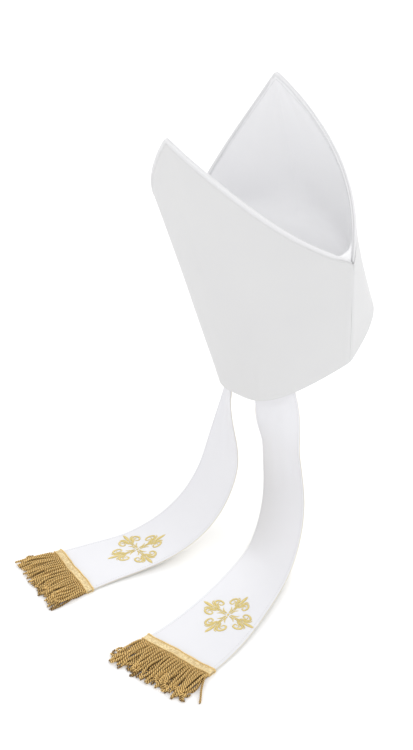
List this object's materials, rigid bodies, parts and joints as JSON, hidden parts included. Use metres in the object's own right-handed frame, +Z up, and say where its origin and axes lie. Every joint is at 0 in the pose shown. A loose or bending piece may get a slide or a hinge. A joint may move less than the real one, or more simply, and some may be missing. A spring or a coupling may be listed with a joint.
{
  "type": "bishop mitre",
  "caption": "Tall horned ceremonial hat with stiff pointed front and back panels, a folded gusset between them, and back lappets ending in embroidered crosses and bullion fringe.",
  "frame": {"origin": "centre of the crown's rim, midway between the side seams, where the hat sits on a head", "axes": "+Z up as worn, -Y is the front, +X is the wearer's left; the crown leans back from +Z towards +Y and the lappets run back along +Y"},
  "size_m": [0.2988, 0.448, 0.5561],
  "materials": {
    "panel_cloth": "matt white twill over a stiffened core",
    "edge_cloth": "matt white cloth turned over into a stitched roll",
    "gusset_cloth": "matt white cloth with a faint sheen",
    "lappet_cloth": "matt white cloth with a cream lining edge",
    "cross_thread": "satin-stitch embroidery in pale gold thread",
    "braid_gold": "woven gold braid",
    "fringe_gold": "twisted bullion cords in old gold"
  },
  "bodies": {
    "root": {"back_panel": "panel_cloth", "front_panel": "panel_cloth", "back_edge_roll": "edge_cloth", "front_edge_roll": "edge_cloth", "gusset": "gusset_cloth", "right_lappet": "lappet_cloth", "right_cross": "cross_thread", "right_braid": "braid_gold", "right_fringe": "fringe_gold", "left_lappet": "lappet_cloth", "left_cross": "cross_thread", "left_braid": "braid_gold", "left_fringe": "fringe_gold"}
  },
  "joints": []
}
